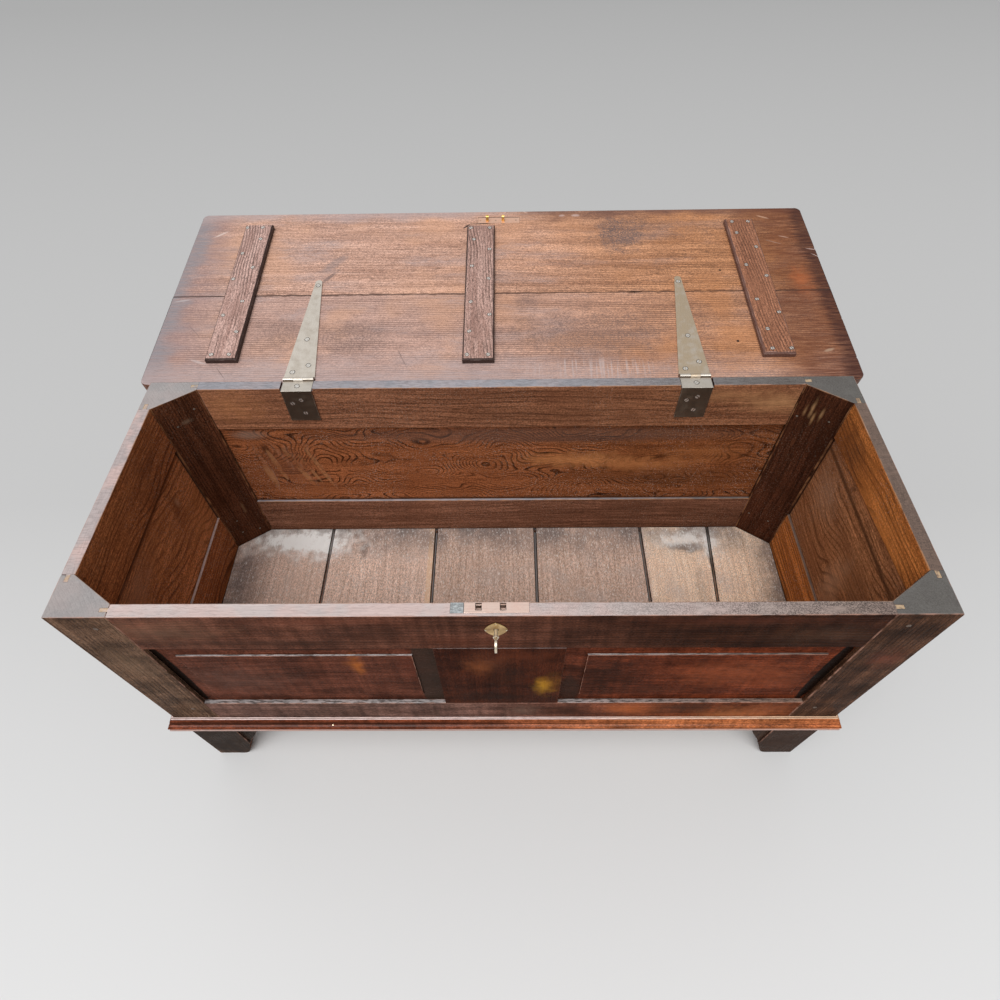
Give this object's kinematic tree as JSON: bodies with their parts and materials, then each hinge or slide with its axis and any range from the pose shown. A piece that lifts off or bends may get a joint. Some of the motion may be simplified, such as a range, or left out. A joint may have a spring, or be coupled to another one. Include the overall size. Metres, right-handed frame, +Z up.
{
  "type": "wooden coffer",
  "caption": "Joined oak coffer with fielded front panels, moulded base, shaped feet and a plank lid that swings back on strap hinges over a link lock with its key.",
  "frame": {"origin": "on the floor, under the middle of the object's box as it stands with the lid thrown back", "axes": "+X to the right along the front, +Y from the front to the back, +Z up"},
  "size_m": [1.268, 0.9628, 0.6995],
  "materials": {
    "frame_oak": "dark glossy varnish",
    "panel_oak": "reddish glossy varnish",
    "moulding_oak": "reddish glossy varnish",
    "lid_oak": "old satin varnish",
    "cleat_oak": "worn satin",
    "floor_oak": "dry and dusty",
    "peg_oak": "bare",
    "patch_wood": "bare grey",
    "hinge_steel": "old brushed, brassy tint",
    "lock_steel": "dull",
    "copper_brass": "scratched, coppery",
    "brass": "old brass",
    "key_steel": "handled, bright"
  },
  "bodies": {
    "carcass": {"post_front_left": "frame_oak", "post_front_right": "frame_oak", "post_rear_left": "frame_oak", "post_rear_right": "frame_oak", "peg_front_left_top": "peg_oak", "peg_front_left_bottom": "peg_oak", "peg_front_right_top": "peg_oak", "peg_front_right_bottom": "peg_oak", "peg_rear_left_top": "peg_oak", "peg_rear_left_bottom": "peg_oak", "peg_rear_right_top": "peg_oak", "peg_rear_right_bottom": "peg_oak", "front_top_rail": "frame_oak", "rear_top_rail": "frame_oak", "left_top_rail": "frame_oak", "right_top_rail": "frame_oak", "front_bottom_rail": "frame_oak", "rear_bottom_rail": "frame_oak", "left_bottom_rail": "frame_oak", "right_bottom_rail": "frame_oak", "front_muntin": "frame_oak", "front_panel_left": "panel_oak", "front_panel_right": "panel_oak", "left_panel": "panel_oak", "right_panel": "panel_oak", "rear_panel": "panel_oak", "floor_board_1": "floor_oak", "floor_board_2": "floor_oak", "floor_board_3": "floor_oak", "floor_board_4": "floor_oak", "floor_board_5": "floor_oak", "floor_board_6": "floor_oak", "base_moulding_front": "moulding_oak", "base_moulding_left": "moulding_oak", "base_moulding_right": "moulding_oak", "foot_bracket_left": "frame_oak", "foot_bracket_right": "frame_oak", "rail_patch": "patch_wood", "lock_case": "copper_brass", "lock_cap": "lock_steel", "lock_spring": "lock_steel", "escutcheon": "brass", "hinge_plate_left": "hinge_steel", "hinge_plate_right": "hinge_steel", "hinge_pin_left": "hinge_steel", "hinge_pin_right": "hinge_steel"},
    "lid": {"lid_board_front": "lid_oak", "lid_board_rear": "lid_oak", "cleat_left": "cleat_oak", "cleat_centre": "cleat_oak", "cleat_right": "cleat_oak", "hinge_strap_left": "hinge_steel", "hinge_strap_right": "hinge_steel", "hasp_plate": "copper_brass"},
    "key": {"key": "key_steel"},
    "bolt": {"lock_bolt": "lock_steel"}
  },
  "joints": [
    {"name": "lid_hinge", "type": "hinge", "parent": "carcass", "child": "lid", "pos_m": [0, 0.00848, 0.65235], "axis": [1, 0, 0], "range_deg": [0, 175.05]},
    {"name": "key_turn", "type": "hinge", "parent": "carcass", "child": "key", "pos_m": [-0.0036, -0.44742, 0.6155], "axis": [0, -1, 0], "range_deg": [0, 180]},
    {"name": "bolt_slide", "type": "slide", "parent": "carcass", "child": "bolt", "axis": [-1, 0, 0], "range_m": [0, 0.009]}
  ],
  "couplings": [
    {"joint": "bolt_slide", "follows": "key_turn", "m_per_rad": 0.002864}
  ]
}
